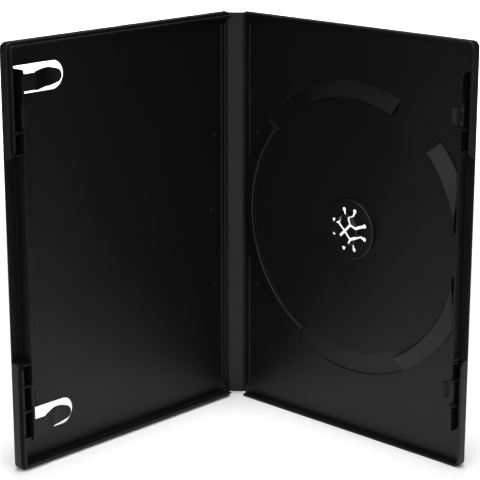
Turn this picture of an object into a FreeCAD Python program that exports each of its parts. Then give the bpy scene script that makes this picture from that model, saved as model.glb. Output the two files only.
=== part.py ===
# Slim disc case of black moulded plastic, standing open on its bottom edge like a book.
import math
import os

import FreeCAD
import Part

V = FreeCAD.Vector

# Closed case
case_height = 190.0
case_width = 135.5
case_thick = 9.4

# How far each cover stands open, in degrees from the closed case
back_open = 50.0
front_open = 40.0

# Panels, corners and the bevels along their edges
panel = 1.0
corner_r = 3.0
edge_bevel = 0.5
rim_bevel = 0.25

# Rims: a stepped lip on the front cover nests inside the wall of the back cover
seam = 0.1
front_rim = 4.7
back_rim = case_thick - front_rim - seam
back_wall = 1.15
lip_clear = 0.2
lip_thick = 1.0
lip_depth = 6.2
lip_inset = back_wall + lip_clear
front_wall = lip_inset + lip_thick

# Hinge lines between the covers and the spine
hinge_r = panel / 2
hinge_clear = 0.08
rim_start = 3.6
spine_short = 0.8
spine_band = 0.4
spine_band_inset = 0.8
hinge_ridge_r = 0.35
hinge_ridge_end = 6.0
back_ridges = (4.4,)
front_ridges = (2.4, 4.6)

# Finger recess in the opening edge
recess_low = 50.0
recess_high = 140.5
recess_back_r = 3.0
recess_front_r = 4.0

# Long ribs beside the opening edge, which slide past each other when the case shuts
rib_thick = 1.0
rib_gap = 0.6
rib_end_r = 1.2
front_rib_ends = (14.0, 178.5)
back_rib_ends = (17.0, 176.5)
front_rib_a = case_width - 6.3
front_rib_depth = 8.0
back_rib_a = front_rib_a + rib_thick + rib_gap
back_rib_depth = 6.5

# Cross walls from the front rib to its lip, and the slots with fins that take them in the back rib
cross_wall = 0.6
cross_wall_depth = 7.4
foot_wall = 15.6
latch_walls = (28.0, 39.6, 152.0)
recess_walls = (49.6, 142.6)
cross_slot_clear = 0.3
fin_thick = 0.6
fin_proud = 1.1
fin_depth = 6.0
fin_tip_depth = 4.4

# Latches: a lowered stretch of the back rib between two arms, with two nubs over a bead
latch_centres = (34.9, 158.9)
latch_length = 12.4
latch_arm = 0.9
latch_arm_proud = 0.8
latch_arm_depth = 8.1
latch_arm_tip_depth = 5.0
latch_depth = 5.0
latch_nub = 1.6
latch_nubs = (-4.0, 2.1)
latch_nub_drop = 1.4
latch_nub_rise = 0.8
latch_nub_proud = 0.1
latch_bead_proud = 0.4
latch_bead_height = 0.7

# Stop tabs on the floors, sloped towards the rib, each given by its middle, its length and its height
tab_crest = 0.6
tab_slope = 0.8
back_tab_a = back_rib_a - 7.5
back_tabs = ((33.2, 7.2, 1.6), (156.8, 7.2, 1.6))
front_tab_a = front_rib_a - 5.1
front_tabs = ((31.0, 7.2, 2.5), (63.5, 7.6, 1.0), (95.2, 11.0, 3.6), (123.4, 7.6, 1.0), (156.8, 7.2, 2.5))

# Pips and inner wall nubs
pip_r = 1.3
pip_height = 1.0
back_pips = ((9.6, 58.5), (9.6, 133.0))
front_pips = ((9.5, 58.0), (11.5, 95.5), (9.5, 132.5))
wall_nubs = (12.0, 66.5, 115.6)
wall_nub_width = 1.2
wall_nub_proud = 0.5
wall_nub_depth = 2.8

# Booklet clips on the front cover, each over a hole shaped like a D
clip_thick = 1.0
clip_heights = (19.8, 173.0)
clip_hole_r = 6.3
clip_hole_tip = front_rib_a - 27.9
clip_neck_end = front_rib_a - 6.6
clip_neck_width = 7.2
clip_head_width = 8.0
clip_cheek_a = front_rib_a - 17.2
clip_chin_a = front_rib_a - 23.2
clip_chin_width = 5.4
clip_slope_end = front_rib_a - 14.4
clip_slope_depth = 3.7
clip_sag_a = front_rib_a - 20.2
clip_sag_depth = 2.7
clip_tip = front_rib_a - 24.5
clip_tip_depth = 3.4

# Disc well: raised arcs around the hub, each with two angles and a height, and finger scoops between
disc_r = 60.0
disc_clear = 0.4
hub_a = front_rib_a - disc_r - disc_clear
hub_z = 97.0
ring_in = disc_r + 2 * disc_clear
ring_crest_flat = 0.9
ring_bevel = 0.35
ring_out = 68.3
ring_foot = 0.8
ring_ends = (2.6, front_rib_a - disc_clear)
scoop_in = 58.5
scoop_depth = 0.5
ring_arcs = ((67.0, 113.0, 4.5), (139.0, 242.0, 2.0), (298.0, 404.0, 4.5))
ring_scoops = ((44.0, 67.0), (113.0, 139.0), (242.0, 298.0))
ring_end_wall = 1.2

# Hub: a thin hollow seat carrying a ring of slotted fingers and four release tongues
hub_skin = 0.6
seat_r = 14.0
seat_height = 2.4
seat_bevel = 0.5
pin_r = 7.35
pin_top = 5.9
pin_chamfer = 0.7
pin_dish = 0.35
pin_bead = 0.15
pin_bead_low = 4.2
slot_width = 1.3
slot_end_r = 1.05
slot_out = 10.55
slot_turn = 19.0
cross_width = 1.3
cross_out = 4.8
tongue_root = 8.8
tongue_gap = 0.2
tongue_names = ("hub_tongue_edge", "hub_tongue_top", "hub_tongue_spine", "hub_tongue_bottom")


def back_side(depth):
    """Height above the outer face of the back cover, as a place across the closed case."""
    return -depth


def front_side(depth):
    """The same for the front cover, whose outer face is on the far side."""
    return depth - case_thick


def outline(place, start, steps):
    """Face inside lines and arcs; an arc is a pair: a point on it and its end."""
    edges = []
    here = place(*start)
    for step in steps + [start]:
        if isinstance(step[0], tuple):
            end = place(*step[1])
            edges.append(Part.Arc(here, place(*step[0]), end).toShape())
        else:
            end = place(*step)
            edges.append(Part.LineSegment(here, end).toShape())
        here = end
    return Part.Face(Part.Wire(edges))


def corner(centre, radius, degrees, end):
    """Arc step around a centre, through one angle and ending at another."""
    points = []
    for angle in (degrees, end):
        turn = math.radians(angle)
        points.append((centre[0] + radius * math.cos(turn), centre[1] + radius * math.sin(turn)))
    return tuple(points)


def block(side, a, depth, z):
    """Box between two widths, two depths and two heights of a cover."""
    low, high = sorted((side(depth[0]), side(depth[1])))
    return Part.makeBox(a[1] - a[0], high - low, z[1] - z[0], V(a[0], low, z[0]))


def through(side, depth_from, depth_to):
    """Vector from one depth of a cover to another."""
    return V(0, side(depth_to) - side(depth_from), 0)


def cover_slab(side, inset, a_start, depth_from, depth_to):
    """Cover outline, moved in by an inset and open at the hinge, as a slab."""
    r = corner_r - inset
    a_end = case_width - inset
    low = inset
    high = case_height - inset
    steps = [
        (a_end - r, low),
        corner((a_end - r, low + r), r, -45, 0),
        (a_end, high - r),
        corner((a_end - r, high - r), r, 45, 90),
        (a_start, high),
    ]
    face = outline(lambda a, z: V(a, side(depth_from), z), (a_start, low), steps)
    return face.extrude(through(side, depth_from, depth_to))


def rim_edges(shape, side, depth, a_start):
    """Edges of a slab at one depth, without the straight one at the hinge."""
    found = []
    for edge in shape.Edges:
        box = edge.BoundBox
        flat = abs(box.YMin - side(depth)) < 1e-4 and abs(box.YMax - side(depth)) < 1e-4
        if flat and box.XMax > a_start + 1e-3:
            found.append(edge)
    return found


def cover_shell(side, rim, wall):
    """Panel with its walls on three edges, bevelled outside."""
    shell = cover_slab(side, 0, hinge_r, 0, rim)
    shell = shell.makeChamfer(edge_bevel, rim_edges(shell, side, 0, hinge_r))
    shell = shell.makeChamfer(rim_bevel, rim_edges(shell, side, rim, hinge_r))
    shell = shell.cut(cover_slab(side, wall, 0, panel, rim + 1))
    return shell.cut(block(side, (0, rim_start), (panel, rim + 1), (-1, case_height + 1)))


def hinge_socket(side):
    """Room for the round hinge bead at the spine edge, with a groove on the inside."""
    bead = Part.makeCylinder(hinge_r + hinge_clear, case_height + 2, V(hinge_r, side(hinge_r), -1))
    start = 2 * hinge_r + hinge_clear
    over = panel + hinge_clear
    steps = [(start, hinge_r), (start + over - hinge_r, over), (0, over)]
    flank = outline(lambda a, d: V(a, side(d), -1), (0, hinge_r), steps)
    return bead.fuse(flank.extrude(V(0, 0, case_height + 2)))


def hinge_ridge(side, a):
    """Fine raised line beside the hinge."""
    length = case_height - 2 * hinge_ridge_end
    return Part.makeCylinder(hinge_ridge_r, length, V(a, side(panel), hinge_ridge_end))


def long_rib(side, a, low, high, depth, end_r):
    """Upright rib along the opening edge, with rounded ends."""
    foot = panel / 2
    steps = [
        (high, foot),
        (high, depth - end_r),
        corner((high - end_r, depth - end_r), end_r, 45, 90),
        (low + end_r, depth),
        corner((low + end_r, depth - end_r), end_r, 135, 180),
    ]
    face = outline(lambda z, d: V(a, side(d), z), (low, foot), steps)
    return face.extrude(V(rib_thick, 0, 0))


def finger_recess(side, a_start, rim, end_r):
    """Gap in the rim for a fingertip, its two ends rounded over."""
    top = rim + 1
    steps = [
        (recess_high, panel),
        (recess_high, rim - end_r),
        corner((recess_high + end_r, rim - end_r), end_r, 135, 90),
        (recess_high + end_r, top),
        (recess_low - end_r, top),
        (recess_low - end_r, rim),
        corner((recess_low - end_r, rim - end_r), end_r, 45, 0),
    ]
    face = outline(lambda z, d: V(a_start, side(d), z), (recess_low, panel), steps)
    return face.extrude(V(case_width - a_start + 1, 0, 0))


def front_cross_wall(z):
    """Wall across the gutter of the front cover, from its rib over its lip."""
    half = cross_wall / 2
    reach = (front_rib_a + rib_thick / 2, case_width - lip_inset)
    return block(front_side, reach, (panel / 2, cross_wall_depth), (z - half, z + half))


def rib_slot(z):
    """Slot in the back rib for a cross wall of the front cover."""
    half = cross_wall / 2 + cross_slot_clear
    reach = (back_rib_a - 0.5, back_rib_a + rib_thick + 0.5)
    deep = case_thick - cross_wall_depth - cross_slot_clear
    return block(back_side, reach, (deep, case_thick), (z - half, z + half))


def rib_fin(z):
    """Fin on the back rib, just below a slot, falling towards the rim."""
    high = z - cross_wall / 2 - cross_slot_clear
    outer = back_rib_a + rib_thick
    root = outer - rib_thick / 2
    tip = outer + fin_proud
    steps = [(tip, panel / 2), (tip, fin_tip_depth), (outer, fin_depth), (root, fin_depth)]
    face = outline(lambda a, d: V(a, back_side(d), high), (root, panel / 2), steps)
    return face.extrude(V(0, 0, -fin_thick))


def stop_tab(side, a, centre, length, height):
    """Wedge standing on the floor, steep on the spine side, with its two top corners rounded."""
    foot = a + tab_crest + tab_slope * height
    crest = panel + height
    steps = [(foot, panel / 2), (foot, panel), (a + tab_crest, crest), (a, crest)]
    low = centre - length / 2
    face = outline(lambda across, d: V(across, side(d), low), (a, panel / 2), steps)
    tab = face.extrude(V(0, 0, length))
    top = [edge for edge in tab.Edges if abs(edge.CenterOfMass.y - side(crest)) < 1e-4]
    top = [edge for edge in top if edge.BoundBox.ZLength < 1e-4]
    return tab.makeFillet(height / 3, top)


def pip(side, a, z):
    """Small round pip on the floor."""
    down = V(0, side(1) - side(0), 0)
    return Part.makeCylinder(pip_r, pip_height + panel / 2, V(a, side(panel / 2), z), down)


def around_hub(degrees):
    """Place by radius and depth in the plane through the hub axis at an angle."""
    turn = math.radians(degrees)

    def place(radius, depth):
        return V(hub_a + radius * math.cos(turn), back_side(depth), hub_z + radius * math.sin(turn))

    return place


def revolve(start, steps, degrees_from, degrees_to):
    """Ring section swept around the hub axis."""
    face = outline(around_hub(degrees_from), start, steps)
    return face.revolve(V(hub_a, 0, hub_z), V(0, -1, 0), degrees_to - degrees_from)


def ring_clip(inset):
    """Stretch of the back cover that the ring may use between hinge and rib."""
    reach = (ring_ends[0] + inset, ring_ends[1] - inset)
    return block(back_side, reach, (-2, case_thick), (0, case_height))


def ring_arc(begin, end, height):
    """Raised arc: steep towards the disc, sloping away outside."""
    crest = panel + height
    steps = [
        (ring_in, crest - ring_bevel),
        (ring_in + ring_bevel, crest),
        (ring_in + ring_crest_flat, crest),
        (ring_out, panel + ring_foot),
        (ring_out, panel / 2),
    ]
    return revolve((ring_in, panel / 2), steps, begin, end).common(ring_clip(0))


def ring_hollow(begin, end, height):
    """Hollow behind a raised arc, leaving an even wall."""
    fall = (height - ring_foot) / (ring_out - ring_in - ring_crest_flat)
    under = panel * math.hypot(1, fall)
    inner = ring_in + panel
    outer = ring_out - panel
    flat = ring_in + ring_crest_flat
    depths = [panel + height - under - fall * (r - flat) for r in (inner, outer)]
    steps = [(inner, depths[0]), (outer, depths[1]), (outer, -1)]
    margin = math.degrees(ring_end_wall / ring_in)
    return revolve((inner, -1), steps, begin + margin, end - margin).common(ring_clip(panel))


def ring_scoop(begin, end):
    """Shallow scoop in the floor where a fingertip lifts the disc edge."""
    above = 2 * panel
    steps = [(ring_out, panel - scoop_depth), (ring_out, above), (scoop_in, above)]
    return revolve((scoop_in, panel), steps, begin, end)


def hub_body():
    """Seat and locating pin as one hollow turned shape."""
    seat = panel + seat_height
    top = panel + pin_top
    bead_low = panel + pin_bead_low
    shoulder = top - pin_chamfer
    inner_pin = pin_r - hub_skin
    inner_seat = seat_r - panel
    under = seat - hub_skin
    steps = [
        (seat_r, panel / 2),
        (seat_r, seat - seat_bevel),
        (seat_r - seat_bevel, seat),
        (pin_r, seat),
        (pin_r, bead_low),
        (pin_r + pin_bead, (bead_low + shoulder) / 2),
        (pin_r, shoulder),
        (pin_r - pin_chamfer, top),
        (0, top - pin_dish),
        (0, top - pin_dish - hub_skin),
        (inner_pin - pin_chamfer, top - hub_skin),
        (inner_pin, shoulder - hub_skin / 2),
        (inner_pin, under),
        (inner_seat, under),
    ]
    return revolve((inner_seat, panel / 2), steps, 0, 360)


def bar(width, begin, end, round_ends):
    """Upright cutter between two places given by radius and angle on the hub."""
    points = []
    for radius, degrees in (begin, end):
        turn = math.radians(degrees)
        points.append(V(hub_a + radius * math.cos(turn), 1, hub_z + radius * math.sin(turn)))
    along = points[1] - points[0]
    drop = V(0, -case_thick - 1, 0)
    across = V(along.z, 0, -along.x).normalize() * (width / 2)
    corners = [points[0] + across, points[1] + across, points[1] - across, points[0] - across]
    tool = Part.Face(Part.makePolygon(corners + [corners[0]])).extrude(drop)
    for point, radius in zip(points, round_ends):
        if radius:
            tool = tool.fuse(Part.makeCylinder(radius, drop.Length, point, drop))
    return tool


def hub_slots():
    """All slots that free the fingers and tongues of the hub."""
    half = cross_width / 2
    reach = slot_out - slot_end_r
    inner = pin_r - hub_skin
    spread = math.degrees(math.acos(tongue_root / reach))
    tools = []
    for quarter in (0, 90, 180, 270):
        for angle in (quarter - slot_turn, quarter + slot_turn):
            tools.append(bar(slot_width, (inner, angle), (reach, angle), (half, slot_end_r)))
        diagonal = quarter + 45
        tools.append(bar(cross_width, (0, diagonal), (cross_out, diagonal), (half, half)))
        for angle in (quarter + slot_turn, quarter + 90 - slot_turn):
            tools.append(bar(cross_width, (cross_out, diagonal), (inner, angle), (half, half)))
        tools.append(bar(tongue_gap, (reach, quarter - spread), (reach, quarter + spread), (0, 0)))
    return tools[0].fuse(tools[1:])


def booklet_clip(z):
    """Springy tongue from the rib top that holds a booklet to the panel."""
    top = front_rib_depth
    root = front_rib_a + rib_thick / 2
    low = [d - clip_thick for d in (top, clip_slope_depth, clip_sag_depth, clip_tip_depth)]
    steps = [
        (clip_neck_end, top),
        (clip_slope_end, clip_slope_depth),
        ((clip_sag_a, clip_sag_depth), (clip_tip, clip_tip_depth)),
        (clip_tip, low[3]),
        ((clip_sag_a, low[2]), (clip_slope_end, low[1])),
        (clip_neck_end, low[0]),
        (root, low[0]),
    ]
    half = clip_head_width / 2
    section = outline(lambda a, d: V(a, front_side(d), z - half), (root, top), steps)
    blank = section.extrude(V(0, 0, clip_head_width))
    neck = clip_neck_width / 2
    swell = clip_neck_end - (half - neck)
    chin = clip_chin_width / 2
    cheek = ((clip_cheek_a + clip_chin_a) / 2, (half + chin) / 2 + (half - chin) / 5)
    plan = [
        (clip_neck_end, z - neck),
        (swell, z - half),
        (clip_cheek_a, z - half),
        ((cheek[0], z - cheek[1]), (clip_chin_a, z - chin)),
        ((clip_tip, z), (clip_chin_a, z + chin)),
        ((cheek[0], z + cheek[1]), (clip_cheek_a, z + half)),
        (swell, z + half),
        (clip_neck_end, z + neck),
        (root, z + neck),
    ]
    shape = outline(lambda a, h: V(a, front_side(0), h), (root, z - neck), plan)
    return blank.common(shape.extrude(through(front_side, 0, case_thick)))


def clip_hole(z):
    """Hole through the panel below a booklet clip."""
    r = clip_hole_r
    middle = clip_hole_tip + r
    steps = [
        (middle, z - r),
        corner((middle, z), r, 180, 90),
        (front_rib_a, z + r),
    ]
    face = outline(lambda a, h: V(a, front_side(-1), h), (front_rib_a, z - r), steps)
    return face.extrude(through(front_side, -1, panel + 0.5))


def wall_nub(a, at_top):
    """Short rib on the inner face of the bottom or top wall of the back cover."""
    half = wall_nub_width / 2
    inner = back_wall + wall_nub_proud
    z = (case_height - inner, case_height - back_wall / 2) if at_top else (back_wall / 2, inner)
    return block(back_side, (a - half, a + half), (panel / 2, wall_nub_depth), z)


def latch_gap(centre):
    """Lowered stretch of the back rib."""
    half = latch_length / 2 - latch_arm
    reach = (back_rib_a - 0.5, back_rib_a + rib_thick + 0.5)
    return block(back_side, reach, (latch_depth, case_thick), (centre - half, centre + half))


def latch_parts(centre):
    """Arms and nubs of one latch."""
    half = latch_length / 2
    outer = back_rib_a + rib_thick
    tip = outer + latch_arm_proud
    inner = back_rib_a - latch_nub_proud
    arm = [
        (tip, panel / 2),
        (tip, latch_arm_tip_depth),
        (outer, latch_arm_depth),
        (back_rib_a, latch_arm_depth),
    ]
    parts = []
    for low in (centre - half, centre + half - latch_arm):
        face = outline(lambda a, d: V(a, back_side(d), low), (back_rib_a, panel / 2), arm)
        parts.append(face.extrude(V(0, 0, latch_arm)))
    nub = [(inner, latch_depth), (inner, latch_depth + latch_nub_rise), (outer, latch_depth)]
    for offset in latch_nubs:
        low = centre + offset - latch_nub / 2
        face = outline(lambda a, d: V(a, back_side(d), low), (outer, latch_depth - latch_nub_drop), nub)
        parts.append(face.extrude(V(0, 0, latch_nub)))
    return parts


def latch_bead(centre):
    """Bead on the front rib that snaps under the nubs of the back rib."""
    outer = front_rib_a + rib_thick
    half = latch_length / 2 - latch_arm - 0.6
    high = front_rib_depth - 0.1
    steps = [
        (outer + latch_bead_proud, high - latch_bead_height / 2),
        (outer, high - latch_bead_height),
        (outer - rib_thick / 2, high - latch_bead_height),
    ]
    foot = centre - half
    face = outline(lambda a, d: V(a, front_side(d), foot), (outer - rib_thick / 2, high), steps)
    return face.extrude(V(0, 0, 2 * half))


def make_back_cover(hub_ring):
    """Back cover with the disc well, in the closed case."""
    rib_face = back_rib_a + rib_thick
    cover = cover_shell(back_side, back_rim, back_wall)
    cover = cover.cut(finger_recess(back_side, rib_face + fin_proud, back_rim, recess_back_r))
    rib = long_rib(back_side, back_rib_a, *back_rib_ends, back_rib_depth, rib_end_r)
    added = []
    for centre in latch_centres:
        rib = rib.cut(latch_gap(centre))
        added += latch_parts(centre)
    for z in latch_walls + recess_walls:
        rib = rib.cut(rib_slot(z))
    added += [rib_fin(z) for z in recess_walls]
    added += rib.Solids
    added += [stop_tab(back_side, back_tab_a, *tab) for tab in back_tabs]
    added += [hinge_ridge(back_side, a) for a in back_ridges]
    added += [pip(back_side, a, z) for a, z in back_pips]
    added += [wall_nub(a, at_top) for a in wall_nubs for at_top in (False, True)]
    added += [ring_arc(*arc) for arc in ring_arcs]
    cover = cover.fuse(added)
    for arc in ring_arcs:
        cover = cover.cut(ring_hollow(*arc))
    for span in ring_scoops:
        cover = cover.cut(ring_scoop(*span))
    drop = V(0, -2 * panel, 0)
    cover = cover.cut(Part.makeCylinder(seat_r - panel, drop.Length, V(hub_a, panel, hub_z), drop))
    cover = cover.fuse(hub_ring)
    return cover.cut(hinge_socket(back_side)).removeSplitter()


def make_front_cover():
    """Front cover with its lip and booklet clips, in the closed case."""
    rib_face = front_rib_a + rib_thick
    cover = cover_shell(front_side, front_rim, front_wall)
    lip = cover_slab(front_side, lip_inset, rim_start, front_rim - panel, lip_depth)
    lip = lip.makeChamfer(rim_bevel, rim_edges(lip, front_side, lip_depth, rim_start))
    lip = lip.cut(cover_slab(front_side, front_wall, 0, 0, lip_depth + 1))
    cover = cover.fuse(lip)
    cover = cover.cut(finger_recess(front_side, rib_face + rib_gap, lip_depth, recess_front_r))
    added = [long_rib(front_side, front_rib_a, *front_rib_ends, front_rib_depth, rib_end_r)]
    added += [front_cross_wall(z) for z in (foot_wall, *latch_walls, *recess_walls)]
    added += [latch_bead(centre) for centre in latch_centres]
    added += [stop_tab(front_side, front_tab_a, *tab) for tab in front_tabs]
    added += [hinge_ridge(front_side, a) for a in front_ridges]
    added += [pip(front_side, a, z) for a, z in front_pips]
    for z in clip_heights:
        cover = cover.cut(clip_hole(z))
    added += [booklet_clip(z) for z in clip_heights]
    cover = cover.fuse(added)
    return cover.cut(hinge_socket(front_side)).removeSplitter()


def make_spine():
    """Spine strip with a round bead along each hinge and a raised inner band."""
    length = case_height - 2 * spine_short
    strip = Part.makeBox(panel, case_thick - panel, length, V(0, front_axis.y, spine_short))
    feet = [V(hinge_r, axis.y, spine_short) for axis in (back_axis, front_axis)]
    beads = [Part.makeCylinder(hinge_r, length, foot) for foot in feet]
    band_low = front_side(spine_band_inset)
    band_high = back_side(spine_band_inset)
    steps = [
        (panel, band_low),
        (panel + spine_band, band_low + spine_band),
        (panel + spine_band, band_high - spine_band),
        (panel, band_high),
        (hinge_r, band_high),
    ]
    band = outline(lambda a, y: V(a, y, spine_short), (hinge_r, band_low), steps)
    return strip.fuse(beads + [band.extrude(V(0, 0, length))]).removeSplitter()


# Hinge axes of the closed case, and where the front one goes when the spine has turned
up = V(0, 0, 1)
back_axis = V(hinge_r, back_side(hinge_r), 0)
front_axis = V(hinge_r, front_side(hinge_r), 0)
spine_turn = FreeCAD.Rotation(up, -back_open)
front_axis_open = back_axis + spine_turn.multVec(front_axis - back_axis)

# Middle of the floor that the open case takes up
left = front_axis_open.x - hinge_r
near = front_axis_open.y - (case_width - hinge_r)
centre = V((left + case_width) / 2, near / 2, 0)

# Hub pieces: the fixed ring stays with the back cover, the four tongues can be pressed
hub_pieces = hub_body().cut(hub_slots()).Solids
hub_pieces.sort(key=lambda solid: solid.Volume)
hub_ring = hub_pieces[-1]
tongues = {}
for solid in hub_pieces[:-1]:
    offset = solid.CenterOfMass - V(hub_a, 0, hub_z)
    quarter = round(math.degrees(math.atan2(offset.z, offset.x)) / 90) % 4
    tongues[tongue_names[quarter]] = solid

pieces = {"back_cover": make_back_cover(hub_ring), "spine": make_spine(), "front_cover": make_front_cover()}
pieces.update(tongues)

# Open the case and put it in the middle of the floor
pieces["front_cover"].rotate(front_axis, up, -front_open)
for name in ("front_cover", "spine"):
    pieces[name].rotate(back_axis, up, -back_open)

os.makedirs("parts", exist_ok=True)
for name, shape in pieces.items():
    shape.translate(centre * -1)
    shape.exportStep("parts/" + name + ".step")
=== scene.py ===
# Looks of a slim black disc case that stands open like a book on a pale floor.
import math

import bpy
from mathutils import Matrix, Vector


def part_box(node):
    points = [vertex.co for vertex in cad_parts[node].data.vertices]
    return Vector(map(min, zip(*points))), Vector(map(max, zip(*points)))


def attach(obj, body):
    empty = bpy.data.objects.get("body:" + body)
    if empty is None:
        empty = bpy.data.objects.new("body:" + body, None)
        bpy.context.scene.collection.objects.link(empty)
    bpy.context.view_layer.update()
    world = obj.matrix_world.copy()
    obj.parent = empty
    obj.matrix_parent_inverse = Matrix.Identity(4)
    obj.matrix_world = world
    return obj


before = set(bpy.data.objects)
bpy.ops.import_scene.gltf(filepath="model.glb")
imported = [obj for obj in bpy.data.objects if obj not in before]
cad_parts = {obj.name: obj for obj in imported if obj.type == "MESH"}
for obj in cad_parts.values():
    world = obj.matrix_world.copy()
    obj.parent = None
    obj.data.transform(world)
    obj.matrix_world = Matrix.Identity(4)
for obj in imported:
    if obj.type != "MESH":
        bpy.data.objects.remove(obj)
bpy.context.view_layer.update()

MM = 0.001

# Directions on the floor, as the camera sees them
AHEAD = Vector((-0.69112, 0.72273, 0.0)).normalized()
SIDEWAYS = Vector((AHEAD.y, -AHEAD.x, 0.0))
UP = Vector((0.0, 0.0, 1.0))

# Black moulding: tones, roughness, features per millimetre, and shares
BLACK = (0.0018, 0.0018, 0.00185)
# Painted sheen: the spine's black is a little lighter, standing in for the light its face catches from the
# camera side
SPINE_SHEEN_BLACK = (0.0022, 0.0022, 0.00226)
COVER_ROUGHNESS = 0.45
TONGUE_ROUGHNESS = 0.40
REFRACTION = 1.49
MIRRORING = 0.3
GRAIN_PER_MM = 2.4
GRAIN_HEIGHT = 0.05 * MM
GRAIN_STRENGTH = 0.70
FLOW_PER_MM = 0.018
FLOW_DARK, FLOW_LIGHT = 0.85, 1.15
FLOW_ROUGHENS = 0.08
SMUDGE_PER_MM = 0.05
SMUDGE_FROM, SMUDGE_TO = 0.5, 0.7
SMUDGE_ROUGHENS = 0.14
SCUFF_PER_MM = 0.9
SCUFF_STRETCH = (0.35, 0.35, 2.2)
SCUFF_FROM, SCUFF_TO = 0.66, 0.78
SCUFF_LIGHT, SCUFF_SHARE = 2.0, 0.12
SCUFF_ROUGHENS = 0.03
EDGE_RADIUS = 0.28 * MM
EDGE_SAMPLES = 6
EDGE_FROM, EDGE_TO = 0.01, 0.25
EDGE_LIGHT, EDGE_SHARE = 2.2, 0.55
EDGE_POLISHES = 0.06

# Slopes of the stop tabs, in millimetres: each tab is its middle's height, its length and its rise.
# Crests and the rib count from the opening edge.  A slope runs TAB_RUN for each millimetre of rise,
# is sunk into the panel by TAB_SINK and stands proud of its tab by TAB_SKIN.
PANEL = 1.0
BACK_TABS = ((33.2, 7.2, 1.6), (156.8, 7.2, 1.6))
BACK_TAB_CREST = 11.6
FRONT_TABS = ((31.0, 7.2, 2.5), (63.5, 7.6, 1.0), (95.2, 11.0, 3.6), (123.4, 7.6, 1.0), (156.8, 7.2, 2.5))
FRONT_TAB_CREST = 10.8
FRONT_RIB = 6.3
RIB_GAP = 0.2
TAB_RUN = 1.2
TAB_SINK = 0.3
TAB_SKIN = 0.02
CORNER_SHARE = 1.0 / 3.0
CORNER_STEPS = 6
WELD = 0.001
RAMP_SIZES = ("Middle", "Length", "Height", "Run")

# Floor and camera
FLOOR_HALF = 4.0
FLOOR_DULL = (0.90, 0.90, 0.90, 1.0)
FLOOR_BRIGHT = (0.94, 0.94, 0.94, 1.0)
FLOOR_CLOUD_PER_MM = 0.004
FLOOR_ROUGHNESS = 0.75
PICTURE_SIDE_PX = 480.0
FOCAL_LENGTH_PX = 1703.6
SENSOR_WIDTH = 36.0
CAMERA_PLACE = (485.75, -508.07, 297.45)
CAMERA_PITCH = 15.340


class Val:
    """A value in a node tree; Python operators on it add Math nodes."""

    def __init__(self, nodes, socket):
        self.nodes = nodes
        self.socket = socket

    def maths(self, operation, other):
        return self.nodes.node("ShaderNodeMath", {"operation": operation}, [self, other])

    def __add__(self, other):
        return self.maths("ADD", other)

    __radd__ = __add__

    def __sub__(self, other):
        return self.maths("SUBTRACT", other)

    def __rsub__(self, other):
        return self.nodes.node("ShaderNodeMath", {"operation": "SUBTRACT"}, [other, self])

    def __mul__(self, other):
        return self.maths("MULTIPLY", other)

    __rmul__ = __mul__

    def above(self, low, high):
        """0 below low, 1 above high, smooth between."""
        settings = {"interpolation_type": "SMOOTHSTEP"}
        sockets = {"Value": self, "From Min": low, "From Max": high}
        return self.nodes.node("ShaderNodeMapRange", settings, sockets)


class Nodes:
    """A node tree, made node by node."""

    def __init__(self, tree):
        self.tree = tree

    def node(self, kind, settings=None, sockets=None, out=0):
        """Any node: its settings first, then the values or links of its sockets."""
        made = self.tree.nodes.new(kind)
        for key, value in (settings or {}).items():
            setattr(made, key, value)
        pairs = sockets.items() if isinstance(sockets, dict) else enumerate(sockets or [])
        for key, value in pairs:
            self.put(made.inputs[key], value)
        return Val(self, made.outputs[out]) if made.outputs else None

    def put(self, socket, value):
        if isinstance(value, Val):
            self.tree.links.new(value.socket, socket)
        else:
            socket.default_value = value


class Finish(Nodes):
    """One procedural material."""

    def __init__(self, name):
        self.material = bpy.data.materials.new(name)
        self.material.use_nodes = True
        super().__init__(self.material.node_tree)
        self.shader = self.tree.nodes["Principled BSDF"]

    def place(self):
        """Object coordinates, in metres of the part's own frame."""
        return self.node("ShaderNodeTexCoord", out="Object")

    def noise(self, where, per_mm, detail=2.0, roughness=0.5):
        """Cloudy noise between 0 and 1, with so many features per millimetre."""
        sockets = {"Vector": where, "Scale": per_mm / MM, "Detail": detail, "Roughness": roughness}
        return self.node("ShaderNodeTexNoise", {"noise_dimensions": "3D"}, sockets, out="Fac")

    def stretched(self, where, scale):
        """Coordinates stretched along the axes."""
        return self.node("ShaderNodeMapping", None, {"Vector": where, "Scale": scale})

    def mix(self, amount, dark, light):
        """Colour between two colours; the Mix node's colour sockets go by number."""
        return self.node("ShaderNodeMix", {"data_type": "RGBA"}, {0: amount, 6: dark, 7: light}, out=2)

    def edges(self, radius):
        """1 on the sharp edges of the moulding and 0 on its flats, and the normal of the softened edges."""
        soft = self.node("ShaderNodeBevel", {"samples": EDGE_SAMPLES}, {"Radius": radius})
        true = self.node("ShaderNodeNewGeometry", out="Normal")
        facing = self.node("ShaderNodeVectorMath", {"operation": "DOT_PRODUCT"}, [soft, true], out="Value")
        return (1.0 - facing).above(EDGE_FROM, EDGE_TO), soft

    def set(self, **inputs):
        for key, value in inputs.items():
            self.put(self.shader.inputs[key.replace("_", " ")], value)


def shade(tone, times):
    """A tone made lighter or darker, as a colour with full cover."""
    return [part * times for part in tone] + [1.0]


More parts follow.
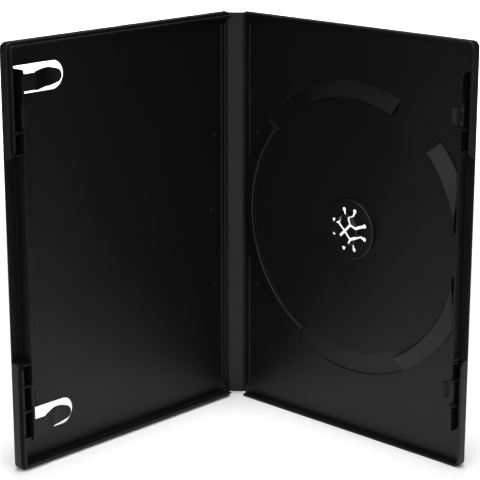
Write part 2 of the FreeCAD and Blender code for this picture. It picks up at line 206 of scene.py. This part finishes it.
def black_moulding(name, tone, roughness):
    """Black moulded plastic: fine grain, faint flow clouds, polished edges and a few light scuffs."""
    plastic = Finish(name)
    where = plastic.place()
    grain = plastic.noise(where, GRAIN_PER_MM)
    flow = plastic.noise(where, FLOW_PER_MM, detail=3.0, roughness=0.6)
    smudge = plastic.noise(where, SMUDGE_PER_MM, detail=4.0, roughness=0.65)
    scratches = plastic.noise(plastic.stretched(where, SCUFF_STRETCH), SCUFF_PER_MM, detail=3.0)
    scuff = scratches.above(SCUFF_FROM, SCUFF_TO)
    edge, softened = plastic.edges(EDGE_RADIUS)
    base = plastic.mix(flow, shade(tone, FLOW_DARK), shade(tone, FLOW_LIGHT))
    worn = plastic.mix(edge * EDGE_SHARE, base, shade(tone, EDGE_LIGHT))
    scuffed = scuff * smudge.above(SMUDGE_FROM, SMUDGE_TO) * SCUFF_SHARE
    clouds = FLOW_ROUGHENS * (flow - 0.5) + SMUDGE_ROUGHENS * (smudge - 0.5)
    bump = {"Height": grain, "Distance": GRAIN_HEIGHT, "Strength": GRAIN_STRENGTH, "Normal": softened}
    plastic.set(
        Base_Color=plastic.mix(scuffed, worn, shade(tone, SCUFF_LIGHT)),
        Roughness=roughness + clouds + SCUFF_ROUGHENS * scuff - EDGE_POLISHES * edge,
        Normal=plastic.node("ShaderNodeBump", None, bump),
        IOR=REFRACTION,
        Specular_IOR_Level=MIRRORING,
    )
    return plastic.material


class RampNodes(Nodes):
    """Node tree of one wedge that falls from a stop tab's crest to the panel, in millimetres.

    X runs along the tab, Y rises from the panel and Z runs from the crest towards the rib.
    """

    def __init__(self, plastic):
        super().__init__(bpy.data.node_groups.new("stop_tab_ramp", "GeometryNodeTree"))
        sides = self.tree.interface
        sides.new_socket("Geometry", in_out="OUTPUT", socket_type="NodeSocketGeometry")
        sides.new_socket("Geometry", in_out="INPUT", socket_type="NodeSocketGeometry")
        self.inputs = {}
        for size in RAMP_SIZES:
            socket = sides.new_socket(size, in_out="INPUT", socket_type="NodeSocketFloat")
            self.inputs[size] = socket.identifier
        given = self.node("NodeGroupInput").socket.node.outputs
        wedge = self.wedge(*[Val(self, given[size]) for size in RAMP_SIZES])
        whole = self.node("GeometryNodeRealizeInstances", None, [self.join(Val(self, given[0]), wedge)])
        dressed = self.node("GeometryNodeSetMaterial", None, {"Geometry": whole, "Material": plastic})
        self.node("NodeGroupOutput", None, [dressed])

    def join(self, *parts):
        joined = self.node("GeometryNodeJoinGeometry")
        for part in parts:
            self.put(joined.socket.node.inputs[0], part)
        return joined

    def vector(self, **parts):
        return self.node("ShaderNodeCombineXYZ", None, parts)

    def wedge(self, middle, length, height, run):
        """Section with rounded top corners, drawn out to the foot of the slope, closed and put in place."""
        where = self.node("GeometryNodeInputPosition")
        x, y, z = [self.node("ShaderNodeSeparateXYZ", None, [where], out=axis) for axis in "XYZ"]
        box_sizes = {"Width": length, "Height": height + TAB_SINK}
        box = self.node("GeometryNodeCurvePrimitiveQuadrilateral", {"mode": "RECTANGLE"}, box_sizes)
        top_corners = y.maths("GREATER_THAN", 0.0) * (height * CORNER_SHARE)
        corners = {"Curve": box, "Count": CORNER_STEPS, "Radius": top_corners}
        outline = self.node("GeometryNodeFilletCurve", {"mode": "POLY"}, corners)
        section = self.node("GeometryNodeFillCurve", {"mode": "NGONS"}, [outline])
        drawn = {"Mesh": section, "Offset": self.vector(Z=run), "Offset Scale": 1.0}
        block = self.node("GeometryNodeExtrudeMesh", {"mode": "FACES"}, drawn)
        panel = (TAB_SINK - height) * 0.5
        foot = self.vector(X=x, Y=y.maths("MINIMUM", panel), Z=z)
        lowered = {"Geometry": block, "Selection": z.maths("GREATER_THAN", run * 0.5), "Position": foot}
        slope = self.node("GeometryNodeSetPosition", None, lowered)
        closed = self.join(slope, self.node("GeometryNodeFlipFaces", None, [section]))
        welded = self.node("GeometryNodeMergeByDistance", None, {"Geometry": closed, "Distance": WELD})
        shift = self.vector(X=middle, Y=(height - TAB_SINK) * 0.5)
        return self.node("GeometryNodeSetPosition", None, {"Geometry": welded, "Offset": shift})


def tab_ramps(name, body, place, tabs, longest_run, nodes):
    """Gentle slopes from the crests of a cover's stop tabs down to its panel, towards the rib."""
    piece = bpy.data.objects.new(name, bpy.data.meshes.new(name))
    bpy.context.scene.collection.objects.link(piece)
    for middle, length, height in tabs:
        run = min(TAB_RUN * height, longest_run)
        ramp = piece.modifiers.new("ramp", "NODES")
        ramp.node_group = nodes.tree
        for size, value in zip(RAMP_SIZES, (middle, length + 2 * TAB_SKIN, height + TAB_SKIN, run)):
            ramp[nodes.inputs[size]] = value
    made = bpy.data.meshes.new_from_object(piece.evaluated_get(bpy.context.evaluated_depsgraph_get()))
    made.transform(place @ Matrix.Scale(MM, 4))
    made.shade_flat()
    piece.modifiers.clear()
    draft, piece.data = piece.data, made
    bpy.data.meshes.remove(draft)
    made.name = name
    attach(piece, body)


def axes_at(corner, along, rise, towards_rib):
    """Frame of a cover's stop tabs: its origin, and the directions of the ramp's X, Y and Z."""
    return Matrix.Translation(corner) @ Matrix((along, rise, towards_rib)).transposed().to_4x4()


def pale_floor():
    """Wide pale floor that the case stands on."""
    paper = Finish("pale_floor")
    cloud = paper.noise(paper.place(), FLOOR_CLOUD_PER_MM)
    paper.set(Base_Color=paper.mix(cloud, FLOOR_DULL, FLOOR_BRIGHT), Roughness=FLOOR_ROUGHNESS)
    corners = [(FLOOR_HALF * x, FLOOR_HALF * y, 0.0) for x, y in ((-1, -1), (1, -1), (1, 1), (-1, 1))]
    mesh = bpy.data.meshes.new("floor")
    mesh.from_pydata(corners, [], [(0, 1, 2, 3)])
    mesh.materials.append(paper.material)
    floor = bpy.data.objects.new("floor", mesh)
    bpy.context.scene.collection.objects.link(floor)


def soft_box(name, place, target, size, power, spread):
    """Rectangular soft light that looks at a target; both are given as sideways, ahead and height."""
    lamp = bpy.data.lights.new(name, "AREA")
    lamp.shape = "RECTANGLE"
    lamp.size, lamp.size_y = size
    lamp.energy = power
    lamp.spread = math.radians(spread)
    start, end = [SIDEWAYS * p[0] + AHEAD * p[1] + UP * p[2] for p in (place, target)]
    back = (start - end).normalized()
    across = AHEAD.cross(back).normalized()
    turn = Matrix((across, back.cross(across), back)).transposed().to_4x4()
    holder = bpy.data.objects.new(name, lamp)
    holder.matrix_world = Matrix.Translation(start) @ turn
    bpy.context.scene.collection.objects.link(holder)


def studio_air(strength):
    """Even, dim surroundings, shown as they are without a film curve."""
    world = bpy.data.worlds.new("studio_air")
    world.use_nodes = True
    back = world.node_tree.nodes["Background"]
    back.inputs["Color"].default_value = (1.0, 1.0, 1.0, 1.0)
    back.inputs["Strength"].default_value = strength
    bpy.context.scene.world = world
    bpy.context.scene.view_settings.view_transform = "Standard"


def photo_camera():
    """Camera at the photograph's viewing angle, for a square picture."""
    data = bpy.data.cameras.new("camera")
    data.sensor_width = SENSOR_WIDTH
    data.sensor_fit = "HORIZONTAL"
    data.lens = FOCAL_LENGTH_PX / PICTURE_SIDE_PX * SENSOR_WIDTH
    camera = bpy.data.objects.new("camera", data)
    pitch = math.radians(CAMERA_PITCH)
    look = AHEAD * math.cos(pitch) - UP * math.sin(pitch)
    turn = look.to_track_quat("-Z", "Y").to_matrix().to_4x4()
    camera.matrix_world = Matrix.Translation(Vector(CAMERA_PLACE) * MM) @ turn
    bpy.context.scene.collection.objects.link(camera)
    bpy.context.scene.camera = camera


covers = black_moulding("black_moulding_covers", BLACK, COVER_ROUGHNESS)
# The spine's slightly lighter black is a painted sheen
spine_strip = black_moulding("black_moulding_spine", SPINE_SHEEN_BLACK, COVER_ROUGHNESS)
hub_tongues = black_moulding("black_moulding_hub", BLACK, TONGUE_ROUGHNESS)

FINISHES = {"back_cover": covers, "front_cover": covers, "spine": spine_strip}
for name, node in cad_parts.items():
    node.data.materials.clear()
    node.data.materials.append(FINISHES.get(name, hub_tongues))

ramp_nodes = RampNodes(covers)

back_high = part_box("back_cover")[1]
back_corner = (back_high[0] - BACK_TAB_CREST * MM, back_high[1] - PANEL * MM, 0.0)
back_axes = axes_at(back_corner, UP, Vector((0.0, -1.0, 0.0)), Vector((1.0, 0.0, 0.0)))
tab_ramps("stop_tab_ramps_back", "back_cover", back_axes, BACK_TABS, BACK_TAB_CREST, ramp_nodes)

# On the front cover the ramps' X runs downwards, so heights count as negative
front_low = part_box("front_cover")[0]
front_corner = (front_low[0] + PANEL * MM, front_low[1] + FRONT_TAB_CREST * MM, 0.0)
front_axes = axes_at(front_corner, -UP, Vector((1.0, 0.0, 0.0)), Vector((0.0, -1.0, 0.0)))
front_tabs = [(-middle, length, height) for middle, length, height in FRONT_TABS]
front_run = FRONT_TAB_CREST - FRONT_RIB - RIB_GAP
tab_ramps("stop_tab_ramps_front", "front_cover", front_axes, front_tabs, front_run, ramp_nodes)

pale_floor()
studio_air(strength=0.11)
soft_box("table_light", place=(0.0, 0.0, 0.90), target=(0.0, 0.0, 0.0),
         size=(0.30, 0.30), power=0.70, spread=50.0)
soft_box("foreground_light", place=(0.0, -0.55, 0.90), target=(0.0, -0.55, 0.0),
         size=(0.25, 0.25), power=1.15, spread=50.0)
soft_box("backdrop_light", place=(0.0, 1.50, 1.20), target=(0.0, 1.50, 0.0),
         size=(0.5, 2.0), power=16.0, spread=70.0)
soft_box("front_light", place=(-0.10, -1.15, 0.75), target=(0.0, 0.0, 0.10),
         size=(1.70, 0.70), power=5.4, spread=120.0)
photo_camera()
